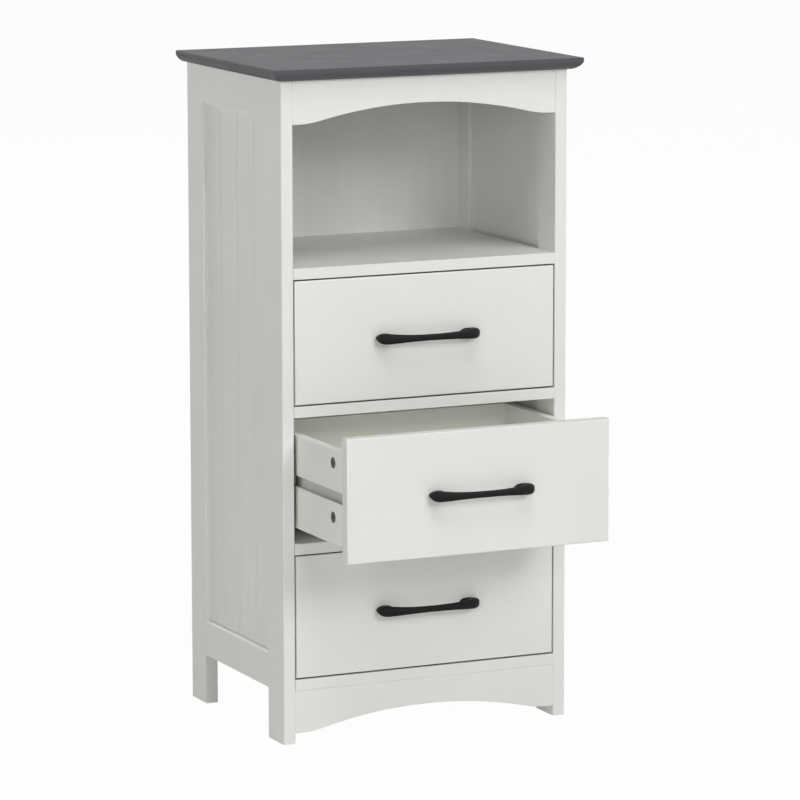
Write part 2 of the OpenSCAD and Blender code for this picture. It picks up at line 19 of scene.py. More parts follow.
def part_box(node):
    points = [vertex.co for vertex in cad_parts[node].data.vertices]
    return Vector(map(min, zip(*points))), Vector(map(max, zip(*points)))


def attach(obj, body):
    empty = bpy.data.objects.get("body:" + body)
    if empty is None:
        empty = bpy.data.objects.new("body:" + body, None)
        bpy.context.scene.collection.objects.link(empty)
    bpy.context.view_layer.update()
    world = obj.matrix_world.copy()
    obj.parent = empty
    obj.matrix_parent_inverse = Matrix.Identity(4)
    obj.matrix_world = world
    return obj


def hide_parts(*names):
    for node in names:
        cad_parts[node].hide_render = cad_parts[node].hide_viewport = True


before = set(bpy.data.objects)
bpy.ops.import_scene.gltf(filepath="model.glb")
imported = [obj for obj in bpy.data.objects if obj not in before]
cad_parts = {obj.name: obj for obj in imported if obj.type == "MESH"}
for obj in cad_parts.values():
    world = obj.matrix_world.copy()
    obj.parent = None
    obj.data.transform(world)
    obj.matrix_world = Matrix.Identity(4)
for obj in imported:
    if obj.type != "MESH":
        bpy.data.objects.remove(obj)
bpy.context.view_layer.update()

MM = 0.001
PARALLEL = 0.97  # cosine of the angle up to which two directions count as one, about 14 degrees
log = logging.getLogger("bathroom_cabinet")

Colour = tuple[float, float, float]
Point = tuple[float, float, float]


class Body(Enum):
    """The four bodies that pieces ride on."""

    CARCASS = "carcass"
    TOP_DRAWER = "top_drawer"
    MIDDLE_DRAWER = "middle_drawer"
    BOTTOM_DRAWER = "bottom_drawer"


class Slot(Enum):
    """The record's material slots."""

    WHITE_PAINT = "white_paint"
    GREY_TOP = "grey_top"
    WHITE_HARDBOARD = "white_hardboard"
    BLACK_METAL = "black_metal"
    ZINC = "zinc"
    STEEL = "steel"
    BEECH = "beech"


class Coat(Enum):
    """The coats of paint on the boards, by the names of their materials."""

    WHITE = "white_satin_paint"
    GREY = "dark_grey_satin_paint"
    DRAWER_FRONT = "drawer_front_paint"
    DRAWER_BOX = "drawer_box_paint"
    # Painted shade: a grey coat on the walls of the drawer sides' grooves and bores.
    GROOVE_SHADE = "painted_groove_shade"
    # Painted highlight: a whiter coat on the flanks of the side boards' beads.
    BEAD_HIGHLIGHT = "painted_bead_highlight"


class Axis(Enum):
    """An axis of the part, as a unit vector."""

    X = (1.0, 0.0, 0.0)
    Y = (0.0, 1.0, 0.0)
    Z = (0.0, 0.0, 1.0)

    def along(self, direction: Vector) -> bool:
        """Say whether a direction runs along this axis, either way."""
        return abs(direction.dot(Vector(self.value))) > PARALLEL


class Recipe:
    """A material under construction: a Principled shader and the nodes that feed it."""

    def __init__(self, name: str, roughness: float, metallic: float = 0.0) -> None:
        """Start the material.

        Args:
            name: Name of the material.
            roughness: Roughness of the bare shader.
            metallic: 1 for bare metal, 0 for paint, wood and plastic.
        """
        self.material = bpy.data.materials.new(name)
        self.material.use_nodes = True
        self.tree = self.material.node_tree
        self.shader = self.tree.nodes["Principled BSDF"]
        self.shader.inputs["Roughness"].default_value = roughness
        self.shader.inputs["Metallic"].default_value = metallic
        self.place = self.add("ShaderNodeTexCoord").outputs["Object"]

    def add(self, kind: str, **settings: object) -> bpy.types.Node:
        """Add a node.

        Args:
            kind: Blender's name of the node type.
            settings: Properties of the node, by name.

        Returns:
            The new node.
        """
        node = self.tree.nodes.new(kind)
        for key, value in settings.items():
            setattr(node, key, value)
        return node

    def link(self, source: bpy.types.NodeSocket, target: bpy.types.NodeSocket) -> None:
        """Join an output to an input."""
        self.tree.links.new(source, target)

    def stretched(self, scale: Point) -> bpy.types.NodeSocket:
        """Give the object's coordinates, drawn out along its axes.

        Args:
            scale: Factor on each axis; a small one draws the pattern out along it.

        Returns:
            The socket with the scaled coordinates.
        """
        mapping = self.add("ShaderNodeMapping", vector_type="POINT")
        mapping.inputs["Scale"].default_value = scale
        self.link(self.place, mapping.inputs["Vector"])
        return mapping.outputs["Vector"]

    def noise(self, scale: float, detail: float = 2.0,
              stretch: Point | None = None) -> bpy.types.NodeSocket:
        """Add a noise over the object.

        Args:
            scale: Spots per metre.
            detail: Octaves of finer spots.
            stretch: Factors on the coordinates, where the noise is drawn out.

        Returns:
            The socket with the noise, from 0 to 1.
        """
        noise = self.add("ShaderNodeTexNoise")
        noise.inputs["Scale"].default_value = scale
        noise.inputs["Detail"].default_value = detail
        self.link(self.stretched(stretch) if stretch else self.place, noise.inputs["Vector"])
        return noise.outputs["Fac"]

    def between(self, fac: bpy.types.NodeSocket, low: float, high: float,
                span: tuple[float, float] = (0.3, 0.7)) -> bpy.types.NodeSocket:
        """Map a stretch of a pattern's values to a range.

        Args:
            fac: Pattern, such as a noise, from 0 to 1.
            low: Value where the pattern is at the start of the span or below it.
            high: Value where the pattern is at the end of the span or above it.
            span: Start and end of the stretch; the default is the middle of a noise.

        Returns:
            The socket with the mapped value.
        """
        mapped = self.add("ShaderNodeMapRange")
        limits = {"From Min": span[0], "From Max": span[1], "To Min": low, "To Max": high}
        for name, value in limits.items():
            mapped.inputs[name].default_value = value
        self.link(fac, mapped.inputs["Value"])
        return mapped.outputs["Result"]

    def gap_shade_mask(self, reach: float, open_share: float, samples: int) -> bpy.types.NodeSocket:
        """Tell how closed in a place is, as the mask of painted gap shade: 0 in the open and in a
        square corner, 1 in a narrow gap.

        Args:
            reach: How far away a facing surface still counts.
            open_share: Openness from which a place counts as wholly open.
            samples: Rays that feel for facing surfaces.

        Returns:
            The socket with the value.
        """
        around = self.add("ShaderNodeAmbientOcclusion", samples=samples)
        around.inputs["Distance"].default_value = reach
        return self.between(around.outputs["AO"], 1.0, 0.0, (0.0, open_share))

    def on_flat_faces(self, value: bpy.types.NodeSocket, upright: float) -> bpy.types.NodeSocket:
        """Keep a value on faces that look up or down, and weaken it on upright ones.

        Args:
            value: The value.
            upright: Share of it that is left on an upright face.

        Returns:
            The socket with the weakened value.
        """
        parts = self.add("ShaderNodeSeparateXYZ")
        self.link(self.add("ShaderNodeNewGeometry").outputs["Normal"], parts.inputs[0])
        size = self.add("ShaderNodeMath", operation="ABSOLUTE")
        self.link(parts.outputs["Z"], size.inputs[0])
        product = self.add("ShaderNodeMath", operation="MULTIPLY")
        self.link(value, product.inputs[0])
        self.link(self.between(size.outputs[0], upright, 1.0), product.inputs[1])
        return product.outputs[0]

    def blend(self, fac: bpy.types.NodeSocket, first: Colour | bpy.types.NodeSocket,
              second: Colour) -> bpy.types.NodeSocket:
        """Mix two colours.

        Args:
            fac: 0 for the first colour, 1 for the second.
            first: Linear colour at 0, or the socket that gives it.
            second: Linear colour at 1.

        Returns:
            The socket with the mixed colour.
        """
        mix = self.add("ShaderNodeMix", data_type="RGBA")
        sockets = (socket for socket in mix.inputs if socket.type == "RGBA")
        for socket, colour in zip(sockets, (first, second)):
            if isinstance(colour, bpy.types.NodeSocket):
                self.link(colour, socket)
            else:
                socket.default_value = (*colour, 1.0)
        self.link(fac, mix.inputs["Factor"])
        return next(socket for socket in mix.outputs if socket.type == "RGBA")

    def colour(self, socket: bpy.types.NodeSocket) -> None:
        """Feed the base colour."""
        self.link(socket, self.shader.inputs["Base Color"])

    def rough(self, socket: bpy.types.NodeSocket) -> None:
        """Feed the roughness."""
        self.link(socket, self.shader.inputs["Roughness"])

    def bump(self, height: bpy.types.NodeSocket, depth: float) -> None:
        """Raise the surface a little.

        Args:
            height: Pattern, from 0 to 1.
            depth: Height of the pattern, in metres.
        """
        bump = self.add("ShaderNodeBump")
        bump.inputs["Strength"].default_value = 1.0
        bump.inputs["Distance"].default_value = depth
        self.link(height, bump.inputs["Height"])
        self.link(bump.outputs["Normal"], self.shader.inputs["Normal"])


def shaded(colour: Colour, share: float) -> Colour:
    """Make a colour lighter or darker.

    Args:
        colour: Linear colour.
        share: Factor on every channel.

    Returns:
        The changed colour.
    """
    return tuple(min(1.0, channel * share) for channel in colour)


@dataclass(frozen=True)
class SatinPaint:
    """Sprayed satin paint on fibreboard, with a painted shade of near-black brown deep in narrow
    gaps.

    Attributes:
        coat: The coat that it is.
        colour: Linear colour in the open.
        roughness: Middle roughness.
        cloud: Share by which the faint clouds are darker and lighter.
        specular: Strength of its gloss.
        gap_shade_colour: Linear colour of the painted shade deep in a gap.
        gap_reach: How far away the other side of a gap may be.
        gap_opening: Openness from which a place has no painted shade.
        gap_samples: Rays that feel for the other side of a gap.
        upright_gap_shade: Share of the painted gap shade on upright faces.
        cloud_scale: Clouds per metre.
        patch_scale: Patches of other roughness per metre.
        patch_spread: Change of the roughness in them, either way.
        peel_scale: Grains of the orange peel per metre.
        peel_depth: Height of those grains.
    """

    coat: Coat
    colour: Colour
    roughness: float
    cloud: float = 0.02
    specular: float = 0.5
    gap_shade_colour: Colour = (0.015, 0.011, 0.007)
    gap_reach: float = 30 * MM
    gap_opening: float = 0.12
    gap_samples: int = 8
    upright_gap_shade: float = 1.0
    cloud_scale: float = 5.0
    patch_scale: float = 24.0
    patch_spread: float = 0.03
    peel_scale: float = 650.0
    peel_depth: float = 0.006 * MM

    def material(self) -> bpy.types.Material:
        """Make the paint's material.

        Returns:
            The finished material.
        """
        recipe = Recipe(self.coat.value, self.roughness)
        recipe.shader.inputs["Specular IOR Level"].default_value = self.specular
        cloud = recipe.between(recipe.noise(self.cloud_scale, detail=4.0), 0.0, 1.0)
        darker, lighter = shaded(self.colour, 1 - self.cloud), shaded(self.colour, 1 + self.cloud)
        paint = recipe.blend(cloud, darker, lighter)
        # Painted shade: where ambient occlusion finds a narrow gap, the colour turns to a near-black
        # brown.
        gap = recipe.gap_shade_mask(self.gap_reach, self.gap_opening, self.gap_samples)
        if self.upright_gap_shade < 1:
            gap = recipe.on_flat_faces(gap, self.upright_gap_shade)
        recipe.colour(recipe.blend(gap, paint, self.gap_shade_colour))
        patch = recipe.noise(self.patch_scale, detail=3.0)
        smooth, rough = self.roughness - self.patch_spread, self.roughness + self.patch_spread
        recipe.rough(recipe.between(patch, smooth, rough))
        recipe.bump(recipe.noise(self.peel_scale), self.peel_depth)
        return recipe.material


@dataclass(frozen=True)
class FacedHardboard:
    """Thin hardboard with a smooth white face that shows a faint long fibre.

    Attributes:
        name: Name of the material.
        colour: Linear colour.
        roughness: Middle roughness.
        shades: Shares of the colour between the fibres and on them.
        fibre_scale: Fibres per metre, across them.
        fibre_run: Factors on the coordinates that draw the fibres out upwards.
        fibre_depth: Height of the fibres.
        patch_scale: Patches of other roughness per metre.
        patch_spread: Change of the roughness in them, either way.
    """

    name: str
    colour: Colour
    roughness: float = 0.5
    shades: tuple[float, float] = (0.975, 1.015)
    fibre_scale: float = 60.0
    fibre_run: Point = (1.0, 1.0, 0.12)
    fibre_depth: float = 0.01 * MM
    patch_scale: float = 30.0
    patch_spread: float = 0.05

    def material(self) -> bpy.types.Material:
        """Make the hardboard's material.

        Returns:
            The finished material.
        """
        recipe = Recipe(self.name, self.roughness)
        fibre = recipe.noise(self.fibre_scale, detail=4.0, stretch=self.fibre_run)
        mottle = recipe.between(fibre, 0.0, 1.0)
        darker, lighter = (shaded(self.colour, shade) for shade in self.shades)
        recipe.colour(recipe.blend(mottle, darker, lighter))
        smooth, rough = self.roughness - self.patch_spread, self.roughness + self.patch_spread
        recipe.rough(recipe.between(recipe.noise(self.patch_scale), smooth, rough))
        recipe.bump(fibre, self.fibre_depth)
        return recipe.material


@dataclass(frozen=True)
class PowderCoat:
    """Satin black powder coat on a cast handle: a fine even grain, a little lighter on its crests.

    Attributes:
        name: Name of the material.
        colour: Linear colour.
        roughness: Middle roughness.
        specular: Strength of its gloss.
        shades: Shares of the colour in the hollows and on the crests.
        grain_scale: Grains per metre.
        grain_depth: Height of the grains.
        patch_scale: Patches of other roughness per metre.
        patch_change: Change of the roughness in the smoothest and the roughest patches.
    """

    name: str
    colour: Colour
    roughness: float = 0.48
    specular: float = 0.13
    shades: tuple[float, float] = (0.8, 1.25)
    grain_scale: float = 1400.0
    grain_depth: float = 0.02 * MM
    patch_scale: float = 90.0
    patch_change: tuple[float, float] = (-0.05, 0.06)

    def material(self) -> bpy.types.Material:
        """Make the powder coat's material.

        Returns:
            The finished material.
        """
        recipe = Recipe(self.name, self.roughness)
        recipe.shader.inputs["Specular IOR Level"].default_value = self.specular
        grain = recipe.noise(self.grain_scale, detail=3.0)
        darker, lighter = (shaded(self.colour, shade) for shade in self.shades)
        recipe.colour(recipe.blend(grain, darker, lighter))
        smooth, rough = (self.roughness + change for change in self.patch_change)
        recipe.rough(recipe.between(recipe.noise(self.patch_scale), smooth, rough))
        recipe.bump(grain, self.grain_depth)
        return recipe.material


@dataclass(frozen=True)
class BareMetal:
    """Bare metal of a fitting: lighter and duller patches over a finely rough skin.

    Attributes:
        name: Name of the material.
        colour: Linear colour.
        roughness: Middle roughness.
        metallic: 1 for clean metal, less where it is oxidised.
        mottle: Share by which the patches are darker and lighter.
        mottle_scale: Darker and lighter patches per metre.
        dull_scale: Duller patches per metre.
        dull_spread: Change of the roughness in them, either way.
        skin_scale: Grains of the rough skin per metre.
        skin_depth: Height of those grains.
    """

    name: str
    colour: Colour
    roughness: float
    metallic: float
    mottle: float
    mottle_scale: float = 300.0
    dull_scale: float = 180.0
    dull_spread: float = 0.08
    skin_scale: float = 900.0
    skin_depth: float = 0.03 * MM

    def material(self) -> bpy.types.Material:
        """Make the metal's material.

        Returns:
            The finished material.
        """
        recipe = Recipe(self.name, self.roughness, self.metallic)
        patch = recipe.between(recipe.noise(self.mottle_scale, detail=4.0), 0.0, 1.0)
        darker, lighter = shaded(self.colour, 1 - self.mottle), shaded(self.colour, 1 + self.mottle)
        recipe.colour(recipe.blend(patch, darker, lighter))
        smooth, rough = self.roughness - self.dull_spread, self.roughness + self.dull_spread
        recipe.rough(recipe.between(recipe.noise(self.dull_scale, detail=3.0), smooth, rough))
        recipe.bump(recipe.noise(self.skin_scale, detail=3.0), self.skin_depth)
        return recipe.material


@dataclass(frozen=True)
class RawBeech:
    """Raw beech of the dowels: short dark flecks in a pale ground.

    Attributes:
        name: Name of the material.
        ground: Linear colour of the ground.
        fleck: Linear colour of the flecks.
        roughness: Roughness of the raw wood.
        fleck_scale: Flecks per metre, across them.
        fleck_run: Factors on the coordinates that draw the flecks out along the dowels.
        fleck_depth: Height of the flecks.
    """

    name: str
    ground: Colour
    fleck: Colour
    roughness: float = 0.6
    fleck_scale: float = 700.0
    fleck_run: Point = (0.2, 1.0, 1.0)
    fleck_depth: float = 0.05 * MM

    def material(self) -> bpy.types.Material:
        """Make the beech's material.

        Returns:
            The finished material.
        """
        recipe = Recipe(self.name, self.roughness)
        flecks = recipe.noise(self.fleck_scale, detail=4.0, stretch=self.fleck_run)
        recipe.colour(recipe.blend(recipe.between(flecks, 0.0, 1.0), self.ground, self.fleck))
        recipe.bump(flecks, self.fleck_depth)
        return recipe.material


class Finishes:
    """Every finish of the cabinet, each made once."""

    def __init__(self) -> None:
        """Make the materials."""
        white = (0.87, 0.878, 0.84)
        paints = (
            # The same white, with its painted gap shade kept to faces that look up or down.
            SatinPaint(Coat.DRAWER_FRONT, white, roughness=0.42, upright_gap_shade=0.0),
            # Painted shade on the walls of the runner grooves: a darker, rougher grey.
            SatinPaint(Coat.GROOVE_SHADE, (0.6, 0.59, 0.56), roughness=0.6, cloud=0.08),
            # Painted highlight on the bead flanks: a whiter, glossier white.
            SatinPaint(Coat.BEAD_HIGHLIGHT, (0.96, 0.965, 0.93), roughness=0.3),
            SatinPaint(Coat.DRAWER_BOX, (0.93, 0.935, 0.875), roughness=0.46),
            SatinPaint(Coat.WHITE, white, roughness=0.42),
            SatinPaint(Coat.GREY, (0.108, 0.108, 0.117), roughness=0.5, cloud=0.06, specular=0.12),
        )
        self.paints: dict[Coat, bpy.types.Material] = {
            paint.coat: paint.material() for paint in paints
        }
        hardboard = FacedHardboard("white_faced_hardboard", (0.84, 0.847, 0.81))
        powder = PowderCoat("black_powder_coat", (0.009, 0.0093, 0.0097))
        zinc = BareMetal("dull_cast_zinc", (0.04, 0.036, 0.031), roughness=0.42, metallic=0.5,
                         mottle=0.3)
        steel = BareMetal("plated_steel", (0.55, 0.55, 0.54), roughness=0.32, metallic=1.0,
                          mottle=0.08)
        beech = RawBeech("raw_beech", ground=(0.58, 0.38, 0.2), fleck=(0.42, 0.25, 0.12))
        self.unpainted: dict[Slot, bpy.types.Material] = {
            Slot.WHITE_HARDBOARD: hardboard.material(),
            Slot.BLACK_METAL: powder.material(),
            Slot.ZINC: zinc.material(),
            Slot.STEEL: steel.material(),
            Slot.BEECH: beech.material(),
        }


def add_object(name: str, mesh: bmesh.types.BMesh) -> bpy.types.Object:
    """Put a modelled shape into the scene.

    Args:
        name: Name of the object and its mesh.
        mesh: The shape, which is used up.

    Returns:
        The new object, at the origin.
    """
    data = bpy.data.meshes.new(name)
    mesh.to_mesh(data)
    mesh.free()
    shape = bpy.data.objects.new(name, data)
    bpy.context.scene.collection.objects.link(shape)
    return shape


@dataclass
class EasedBoard:
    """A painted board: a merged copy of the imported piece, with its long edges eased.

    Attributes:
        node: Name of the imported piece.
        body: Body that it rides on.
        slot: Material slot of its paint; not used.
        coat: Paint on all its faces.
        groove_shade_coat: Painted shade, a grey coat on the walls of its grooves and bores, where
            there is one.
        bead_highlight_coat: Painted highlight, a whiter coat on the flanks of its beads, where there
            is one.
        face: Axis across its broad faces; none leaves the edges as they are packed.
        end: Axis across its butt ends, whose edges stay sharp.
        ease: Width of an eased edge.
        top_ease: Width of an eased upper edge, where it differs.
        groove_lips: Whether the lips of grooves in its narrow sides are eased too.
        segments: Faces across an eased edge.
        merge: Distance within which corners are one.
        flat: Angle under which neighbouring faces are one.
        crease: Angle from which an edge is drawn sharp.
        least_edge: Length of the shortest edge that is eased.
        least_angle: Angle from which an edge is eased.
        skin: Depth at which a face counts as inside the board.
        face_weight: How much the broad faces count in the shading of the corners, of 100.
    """

    node: str
    body: Body
    slot: Slot = Slot.WHITE_PAINT
    coat: Coat = Coat.WHITE
    groove_shade_coat: Coat | None = None
    bead_highlight_coat: Coat | None = None
    face: Axis | None = None
    end: Axis | None = None
    ease: float = 0.8 * MM
    top_ease: float | None = None
    groove_lips: bool = False
    segments: int = 3
    merge: float = 0.001 * MM
    flat: float = math.radians(0.5)
    crease: float = math.radians(40)
    least_edge: float = 3 * MM
    least_angle: float = math.radians(60)
    skin: float = 1 * MM
    face_weight: int = 100

    def build(self) -> bpy.types.Object:
        """Copy, merge and ease the board.

        Returns:
            The new piece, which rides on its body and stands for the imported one.
        """
        mesh = self.merged_copy()
        if self.face is not None:
            self.ease_edges(mesh)
        self.mark_coats(mesh)
        piece = add_object(f"{self.node}_painted", mesh)
        piece.data.set_sharp_from_angle(angle=self.crease)
        weighted = piece.modifiers.new("even_faces", "WEIGHTED_NORMAL")
        weighted.keep_sharp = True
        weighted.weight = self.face_weight
        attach(piece, self.body.value)
        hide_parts(self.node)
        return piece

    def merged_copy(self) -> bmesh.types.BMesh:
        """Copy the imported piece, join its loose triangles and clear the lines on its flat faces.

        Returns:
            The copy.
        """
        mesh = bmesh.new()
        mesh.from_mesh(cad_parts[self.node].data)
        bmesh.ops.remove_doubles(mesh, verts=mesh.verts, dist=self.merge)
        bmesh.ops.dissolve_limit(mesh, angle_limit=self.flat, verts=mesh.verts, edges=mesh.edges,
                                 use_dissolve_boundaries=False, delimit={"NORMAL"})
        return mesh

    def ease_edges(self, mesh: bmesh.types.BMesh) -> None:
        """Round the long edges, the upper ones by their own width where they have one.

        Args:
            mesh: The merged board.
        """
        middle = sum((corner.co.z for corner in mesh.verts), 0.0) / len(mesh.verts)
        edges = self.long_edges(mesh)
        upper = []
        if self.top_ease is not None:
            upper = [edge for edge in edges if edge.verts[0].co.z > middle]
        lower = [edge for edge in edges if edge not in upper]
        for found, ease in ((upper, self.top_ease), (lower, self.ease)):
            if found:
                bmesh.ops.bevel(mesh, geom=found, offset=ease, offset_type="OFFSET",
                                segments=self.segments, profile=0.5, affect="EDGES",
                                clamp_overlap=True, material=-1)

    def long_edges(self, mesh: bmesh.types.BMesh) -> list[bmesh.types.BMEdge]:
        """Find the edges between a broad face and a side face, leaving out bores and butt ends.

        Args:
            mesh: The merged board.

        Returns:
            The edges to ease.
        """
        found = []
        across = Vector(self.face.value)
        depths = [corner.co.dot(across) for corner in mesh.verts]
        near, far = min(depths), max(depths)
        for edge in mesh.edges:
            short = edge.calc_length() < self.least_edge
            if len(edge.link_faces) != 2 or short or not edge.is_convex:
                continue
            depth = edge.verts[0].co.dot(across)
            if not self.groove_lips and min(depth - near, far - depth) > self.merge:
                continue
            first, second = (side.normal for side in edge.link_faces)
            broad = self.face.along(first) != self.face.along(second)
            butt = self.end is not None and (self.end.along(first) or self.end.along(second))
            if broad and not butt and edge.calc_face_angle() > self.least_angle:
                found.append(edge)
        return found

    def mark_coats(self, mesh: bmesh.types.BMesh) -> None:
        """Smooth the faces, and mark those that have the second coat.

        Args:
            mesh: The eased board.
        """
        spans = []
        for axis in range(3):
            places = [corner.co[axis] for corner in mesh.verts]
            spans.append((min(places), max(places)))
        for polygon in mesh.faces:
            polygon.smooth = True
            # Walls of grooves and bores take the painted groove shade.
            groove = self.groove_shade_coat is not None and self.is_inside(polygon, spans)
            # Slanted bead flanks take the painted bead highlight.
            bead = self.bead_highlight_coat is not None and self.is_slanted(polygon)
            polygon.material_index = int(groove or bead)

    def is_inside(self, polygon: bmesh.types.BMFace, spans: list[tuple[float, float]]) -> bool:
        """Say whether a face lies within the board: the wall of a groove or a bore.

        Args:
            polygon: The face.
            spans: The board's lowest and highest place on each axis.

        Returns:
            True where the face stays clear of all six sides of the board.
        """
        middle = polygon.calc_center_median()
        return all(low + self.skin < place < high - self.skin
                   for place, (low, high) in zip(middle, spans))

    def is_slanted(self, polygon: bmesh.types.BMFace) -> bool:
        """Say whether a face is a flank of a bead: it looks along none of the axes."""
        return not any(axis.along(polygon.normal) for axis in Axis)

    def dress(self, piece: bpy.types.Object, finishes: Finishes) -> None:
        """Paint the board.

        Args:
            piece: The piece that build made.
            finishes: The cabinet's finishes.
        """
        for coat in (self.coat, self.groove_shade_coat, self.bead_highlight_coat):
            if coat is not None:
                piece.data.materials.append(finishes.paints[coat])
        log.info("%s eased and painted in %s", piece.name, self.coat.value)


def near_foot(share: float, rise: float) -> float:
    """Run a factor smoothly from a given share at the drawer front to 1 at full reach.

    Args:
        share: Factor at the drawer front.
        rise: Share of the full reach, from 0 to 1.

    Returns:
        The factor.
    """
    return 1 - (1 - share) * (1 - rise) ** 2


def rounded(value: float, squareness: float) -> float:
    """Turn a sine or cosine into that of a superellipse."""
    return math.copysign(abs(value) ** (2 / squareness), value)


@dataclass(frozen=True)
class Bow:
    """One side of a handle's bow, seen from above: a superellipse between two feet.

    Attributes:
        half_length: Distance from the handle's middle to the bow's furthest point sideways.
        reach: Distance from the drawer front to the bow's furthest point forwards.
        foot: Distance from the handle's middle to the bow's end at the drawer front.
        squareness: Exponent of the superellipse; 2 is a plain ellipse.
    """

    half_length: float
    reach: float
    foot: float
    squareness: float

    def at(self, angle: float) -> tuple[float, float]:
        """Give a point of the bow.

        Args:
            angle: 0 at the left foot, pi at the right one.

        Returns:
            The point's X and Y, from the handle's middle at the drawer front.
        """
        rise = rounded(math.sin(angle), self.squareness)
        across = self.half_length * rounded(math.cos(angle), self.squareness)
        return -across * near_foot(self.foot / self.half_length, rise), -self.reach * rise


@dataclass
class BowHandle:
    """A bow handle: flattened ends on spread feet, and a slimmer bar that bows between them.

    Attributes:
        body: Drawer that it rides on.
        outer: Front side of the bow.
        inner: Side towards the drawer front.
        screw_x: Distance from the handle's middle to a screw.
        screw_bore: Radius of a screw's bore.
        screw_bite: Depth of a screw's bore.
        foot_rims: Widths of the two rims between a foot's outline and its bore.
        bar_height: Height of the bar at its middle.
        end_height: Height of the flattened ends.
        foot_height: Height of the feet at the drawer front.
        end_taper: Power by which the bar grows into its ends.
        section: Squareness of the bar's section; 2 is a plain ellipse.
        rings: Spans between the rings along the bow.
        sides: Sides of a ring.
    """

    body: Body
    outer: Bow = Bow(half_length=76 * MM, reach=26 * MM, foot=74 * MM, squareness=3.6)
    inner: Bow = Bow(half_length=64.5 * MM, reach=19.5 * MM, foot=49 * MM, squareness=3.0)
    screw_x: float = 64 * MM
    screw_bore: float = 2 * MM
    screw_bite: float = 9 * MM
    foot_rims: tuple[float, float] = (0.5 * MM, 1.5 * MM)
    bar_height: float = 8.5 * MM
    end_height: float = 15 * MM
    foot_height: float = 12 * MM
    end_taper: float = 2.4
    section: float = 3.2
    rings: int = 48
    sides: int = 20

    def ring_point(self, angle: float, spot: Vector) -> Vector:
        """Move a point of a unit circle to its place on a ring of the bow.

        Args:
            angle: Where the ring stands: 0 at the left foot, pi at the right one.
            spot: Point of the unit circle.

        Returns:
            The point, from the handle's middle at the drawer front.
        """
        outer, inner = Vector(self.outer.at(angle)), Vector(self.inner.at(angle))
        middle, half = (outer + inner) / 2, (outer - inner) / 2
        rise = min(1.0, -2 * middle.y / (self.outer.reach + self.inner.reach))
        spread = min(1.0, abs(middle.x) / self.screw_x) ** self.end_taper
        height = self.bar_height + (self.end_height - self.bar_height) * spread
        height *= near_foot(self.foot_height / self.end_height, rise)
        squareness = 2 + (self.section - 2) * rise
        flat = middle + half * rounded(spot.x, squareness)
        return Vector((flat.x, flat.y, height / 2 * rounded(spot.y, squareness)))

    def build(self) -> bpy.types.Object:
        """Bridge the rings of the bow, close its feet round the screws' bores and smooth it.

        Returns:
            The new piece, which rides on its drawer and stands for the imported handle.
        """
        low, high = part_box(f"{self.body.value}_handle")
        seat = Vector(((low[0] + high[0]) / 2, high[1], (low[2] + high[2]) / 2))
        mesh = bmesh.new()
        loops = []
        for step in range(self.rings + 1):
            angle = math.pi / 2 * (1 - math.cos(math.pi * step / self.rings))
            corners = bmesh.ops.create_circle(mesh, segments=self.sides, radius=1.0)["verts"]
            loops.append(list({edge for corner in corners for edge in corner.link_edges}))
            for corner in corners:
                corner.co = self.ring_point(angle, corner.co)
        for first, second in zip(loops, loops[1:]):
            bmesh.ops.bridge_loops(mesh, edges=first + second)
        for side, loop in ((-1, loops[0]), (1, loops[-1])):
            self.close_foot(mesh, loop, Vector((side * self.screw_x, 0.0, 0.0)))
        bmesh.ops.recalc_face_normals(mesh, faces=mesh.faces)
        bmesh.ops.translate(mesh, verts=mesh.verts, vec=seat)
        for polygon in mesh.faces:
            polygon.smooth = True
        piece = add_object(f"{self.body.value}_bow_handle", mesh)
        smooth = piece.modifiers.new("smooth", "SUBSURF")
        smooth.levels = smooth.render_levels = 1
        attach(piece, self.body.value)
        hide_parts(f"{self.body.value}_handle")
        return piece

    def close_foot(self, mesh: bmesh.types.BMesh, loop: list[bmesh.types.BMEdge],
                   screw: Vector) -> None:
        """Close the end of the bow with a flat face, bored for the screw.

        Args:
            mesh: The bow.
            loop: Edges of its open end.
            screw: Where the screw's axis meets the drawer front.
        """
        face = bmesh.ops.contextual_create(mesh, geom=loop)["faces"][0]
        for rim in self.foot_rims:
            bmesh.ops.inset_region(mesh, faces=[face], thickness=rim, use_even_offset=True)
        for corner in face.verts:
            corner.co = screw + (corner.co - screw).normalized() * self.screw_bore
        deep = bmesh.ops.extrude_discrete_faces(mesh, faces=[face])["faces"][0]
        bmesh.ops.translate(mesh, verts=deep.verts, vec=(0.0, -self.screw_bite, 0.0))

    def dress(self, piece: bpy.types.Object, finishes: Finishes) -> None:
        """Coat the handle.

        Args:
            piece: The piece that build made.
            finishes: The cabinet's finishes.
        """
        piece.data.materials.append(finishes.unpainted[Slot.BLACK_METAL])
        log.info("%s bridged, smoothed and dressed", piece.name)


@dataclass(frozen=True)
class Fitting:
    """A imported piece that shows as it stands: a fixing, a dowel or a thin panel.

    Attributes:
        node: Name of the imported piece.
        slot: Material slot of its finish.
    """

    node: str
    slot: Slot

    def dress(self, finishes: Finishes) -> None:
        """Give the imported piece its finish, and leave its mesh as it is.

        Args:
            finishes: The cabinet's finishes.
        """
        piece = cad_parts[self.node]
        piece.data.materials.clear()
        piece.data.materials.append(finishes.unpainted[self.slot])
        log.info("%s dressed for %s", self.node, self.slot.value)


@dataclass
class Assembly:
    """Pieces that ride on one body.

    Attributes:
        body: The body.
    """

    body: Body

    def parts(self) -> list[EasedBoard | BowHandle]:
        """List the parts that are modelled anew."""
        raise NotImplementedError

    def fittings(self) -> list[Fitting]:
        """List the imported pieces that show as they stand."""
        raise NotImplementedError

    def make(self, finishes: Finishes) -> None:
        """Build and dress every part, and dress the fittings.

        Args:
            finishes: The cabinet's finishes.
        """
        for part in self.parts():
            part.dress(part.build(), finishes)
        for fitting in self.fittings():
            fitting.dress(finishes)


